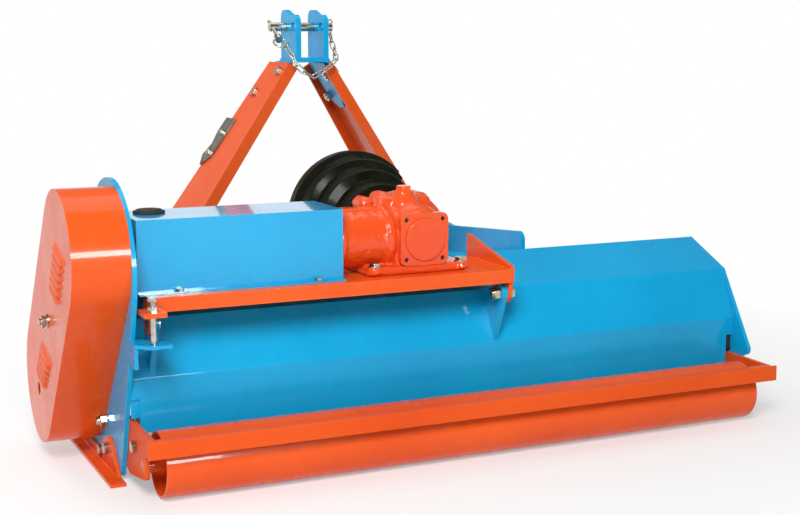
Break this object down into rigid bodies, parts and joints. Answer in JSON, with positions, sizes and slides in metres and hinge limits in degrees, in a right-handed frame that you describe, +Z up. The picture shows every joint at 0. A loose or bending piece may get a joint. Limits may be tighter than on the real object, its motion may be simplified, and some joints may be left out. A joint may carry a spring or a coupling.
{
  "type": "flail mower",
  "caption": "Rear-mounted tractor flail mower: folded hood, hammer flail rotor, belt drive from a bevel gearbox, three-point mast, skids and a rear roller with scraper.",
  "frame": {"origin": "on the ground under the middle of the overall box", "axes": "+X to the right of the machine seen from behind, +Y forward to the tractor, +Z up"},
  "size_m": [1.426, 0.94, 0.824],
  "materials": {
    "blue_paint": "gloss",
    "orange_paint": "gloss",
    "orange_casting": "gloss over rough casting",
    "zinc": "zinc plated",
    "steel": "bare",
    "black_paint": "satin",
    "cast_iron": "cast",
    "black_plastic": "gloss",
    "black_rubber": "matt"
  },
  "bodies": {
    "deck": {"left_side_plate": "blue_paint", "right_side_plate": "blue_paint", "hood": "blue_paint", "counter_blade": "black_paint", "flap_rod": "zinc", "left_skid": "orange_paint", "right_skid": "orange_paint", "skid_bolts": "zinc", "hitch_beam": "blue_paint", "left_hitch_plate": "blue_paint", "right_hitch_plate": "blue_paint", "lower_hitch_pins": "zinc", "left_mast_arm": "orange_paint", "right_mast_arm": "orange_paint", "mast_clevis": "blue_paint", "top_link_pin": "zinc", "linchpin": "zinc", "mast_bolts": "zinc", "mast_bracket": "steel", "pin_chain": "zinc", "belt_cover": "orange_paint", "belt_cover_stud": "zinc", "left_rotor_bearing": "cast_iron", "right_rotor_bearing": "cast_iron", "bearing_bolts": "zinc", "v_belts": "black_rubber", "roller_pivot_bolts": "zinc", "platform_pivot_bolts": "zinc"},
    "platform": {"gearbox_platform": "orange_paint", "gearbox_housing": "orange_casting", "gearbox_end_cap": "orange_casting", "filler_plug": "orange_casting", "gearbox_bolts": "zinc", "gearbox_bearings": "steel", "shaft_cover": "blue_paint", "cover_cap": "black_rubber", "cover_bolts": "zinc", "shaft_end_bearing": "cast_iron", "pto_guard": "black_plastic"},
    "tension_screw": {"tension_screw": "zinc"},
    "input": {"input_shaft": "steel", "input_bevel_gear": "steel"},
    "cross": {"cross_shaft": "steel", "bevel_pinion": "steel", "drive_pulley": "steel"},
    "rotor": {"rotor_tube": "black_paint", "driven_pulley": "steel", "flail_pins": "zinc"},
    "flails_a": {"flails_a": "steel"},
    "flails_b": {"flails_b": "steel"},
    "flails_c": {"flails_c": "steel"},
    "flails_d": {"flails_d": "steel"},
    "roller_arms": {"left_roller_bracket": "orange_paint", "right_roller_bracket": "orange_paint", "scraper_bar": "orange_paint", "roller_bolts": "zinc"},
    "roller": {"roller_tube": "orange_paint"},
    "front_flaps": {"front_flaps": "black_paint"}
  },
  "joints": [
    {"name": "rotor_spin", "type": "hinge", "parent": "deck", "child": "rotor", "pos_m": [0.041, -0.076, 0.146], "axis": [1, 0, 0], "continuous": true},
    {"name": "belt_tension", "type": "hinge", "parent": "deck", "child": "platform", "pos_m": [0.041, -0.354, 0.29], "axis": [1, 0, 0], "range_deg": [0, 3], "deforming": ["v_belts"]},
    {"name": "tension_screw_travel", "type": "slide", "parent": "deck", "child": "tension_screw", "axis": [0, 0, 1], "range_m": [-0.003, 0]},
    {"name": "cross_spin", "type": "hinge", "parent": "platform", "child": "cross", "pos_m": [0.041, -0.283, 0.401], "axis": [1, 0, 0], "continuous": true},
    {"name": "pto_spin", "type": "hinge", "parent": "platform", "child": "input", "pos_m": [-0.043, -0.283, 0.401], "axis": [0, 1, 0], "continuous": true},
    {"name": "flails_a_swing", "type": "hinge", "parent": "rotor", "child": "flails_a", "pos_m": [0.041, -0.03216, 0.18984], "axis": [1, 0, 0], "range_deg": [-2, 270]},
    {"name": "flails_b_swing", "type": "hinge", "parent": "rotor", "child": "flails_b", "pos_m": [0.041, -0.11984, 0.18984], "axis": [1, 0, 0], "range_deg": [-270, 2]},
    {"name": "flails_c_swing", "type": "hinge", "parent": "rotor", "child": "flails_c", "pos_m": [0.041, -0.11984, 0.10216], "axis": [1, 0, 0], "range_deg": [-180, 90]},
    {"name": "flails_d_swing", "type": "hinge", "parent": "rotor", "child": "flails_d", "pos_m": [0.041, -0.03216, 0.10216], "axis": [1, 0, 0], "range_deg": [-90, 180]},
    {"name": "roller_height", "type": "hinge", "parent": "deck", "child": "roller_arms", "pos_m": [0.041, -0.183, 0.084], "axis": [1, 0, 0], "range_deg": [0, 8]},
    {"name": "roller_spin", "type": "hinge", "parent": "roller_arms", "child": "roller", "pos_m": [0.041, -0.398, 0.05715], "axis": [1, 0, 0], "continuous": true},
    {"name": "front_flaps_swing", "type": "hinge", "parent": "deck", "child": "front_flaps", "pos_m": [0.041, 0.064, 0.212], "axis": [1, 0, 0], "range_deg": [-10, 80]}
  ],
  "couplings": [
    {"joint": "cross_spin", "follows": "rotor_spin", "ratio": 0.73171},
    {"joint": "pto_spin", "follows": "rotor_spin", "ratio": 0.2439},
    {"joint": "tension_screw_travel", "follows": "belt_tension", "m_per_rad": -0.04}
  ]
}
